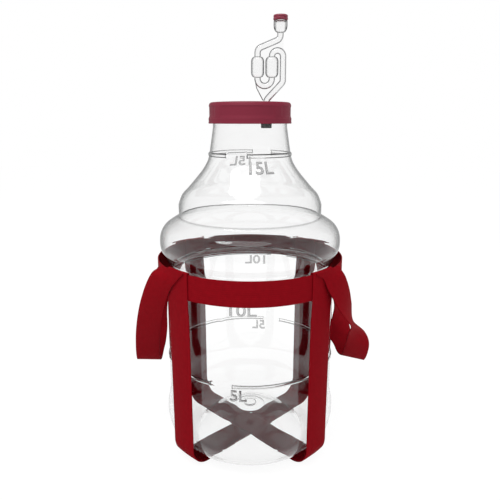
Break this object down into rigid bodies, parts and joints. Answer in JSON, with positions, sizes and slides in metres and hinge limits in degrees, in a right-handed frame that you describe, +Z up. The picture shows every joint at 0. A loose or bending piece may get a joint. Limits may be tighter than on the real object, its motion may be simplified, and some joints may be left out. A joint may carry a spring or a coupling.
{
  "type": "carboy",
  "caption": "Clear wide-necked fermentation bottle in a red webbing carrier, with a screw cap, a bored bung and a twin-bubble lock.",
  "frame": {"origin": "on the floor, on the axis of the bottle, at the underside of the lower strap where the two straps cross", "axes": "+Z up along the axis of the bottle, -Y to the front with the level marks, +X to the right"},
  "size_m": [0.333, 0.2538, 0.5779],
  "materials": {
    "bottle_plastic": "clear, glossy",
    "cap_plastic": "satin, moulded",
    "seal_rubber": "matt",
    "bung_rubber": "matt",
    "lock_plastic": "clear, glossy",
    "dust_cap_plastic": "satin, moulded",
    "webbing": "woven webbing"
  },
  "bodies": {
    "root": {"bottle": "bottle_plastic", "belt": "webbing", "strap_left_front": "webbing", "strap_right_front": "webbing", "handle_left": "webbing", "handle_right": "webbing"},
    "seal": {"cap_seal": "seal_rubber"},
    "cap": {"screw_cap": "cap_plastic", "bung": "bung_rubber"},
    "lock": {"airlock_body": "lock_plastic"},
    "dust_cap": {"airlock_cap": "dust_cap_plastic"}
  },
  "joints": [
    {"name": "cap_rise", "type": "slide", "parent": "root", "child": "seal", "axis": [0, 0, 1], "range_m": [0, 0.0125]},
    {"name": "cap_turn", "type": "hinge", "parent": "seal", "child": "cap", "pos_m": [0, 0, 0.4567], "axis": [0, 0, 1], "range_deg": [0, 540]},
    {"name": "lock_pull", "type": "slide", "parent": "cap", "child": "lock", "axis": [0, 0, 1], "range_m": [0, 0.03]},
    {"name": "dust_cap_lift", "type": "slide", "parent": "lock", "child": "dust_cap", "axis": [0, 0, 1], "range_m": [0, 0.01]}
  ],
  "couplings": [
    {"joint": "cap_rise", "follows": "cap_turn", "m_per_rad": 0.0012732}
  ]
}
